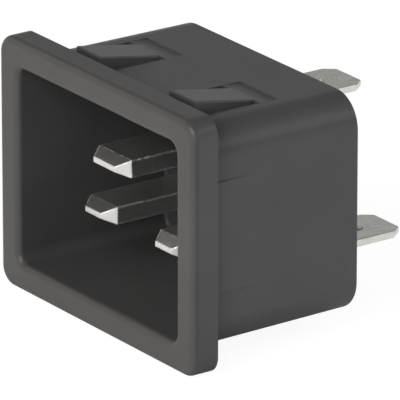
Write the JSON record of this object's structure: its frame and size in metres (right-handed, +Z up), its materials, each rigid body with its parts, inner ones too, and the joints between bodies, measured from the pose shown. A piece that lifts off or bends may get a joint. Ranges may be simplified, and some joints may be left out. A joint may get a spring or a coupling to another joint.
{
  "type": "iec panel inlet",
  "caption": "Snap-in panel inlet for a mains connector: rectangular flange and deep socket with flat pins, ramped snap latches on the body and push-on tabs at the rear.",
  "frame": {"origin": "middle of the flange's rear face, in the plane of the panel's front", "axes": "+Y through the panel to the rear, +Z up towards the earth pin, +X to the right seen from the front"},
  "size_m": [0.0362, 0.0331, 0.0284],
  "materials": {
    "housing_plastic": "dark grey moulded thermoplastic with a fine matte texture",
    "plated_brass": "brass with a silver-coloured plating, satin",
    "plated_sheet": "brass sheet with a silver-coloured plating, brushed along its length"
  },
  "bodies": {
    "root": {"housing": "housing_plastic", "earth_pin": "plated_brass", "line_pin": "plated_brass", "neutral_pin": "plated_brass", "earth_tab": "plated_sheet", "line_tab": "plated_sheet", "neutral_tab": "plated_sheet"}
  },
  "joints": []
}
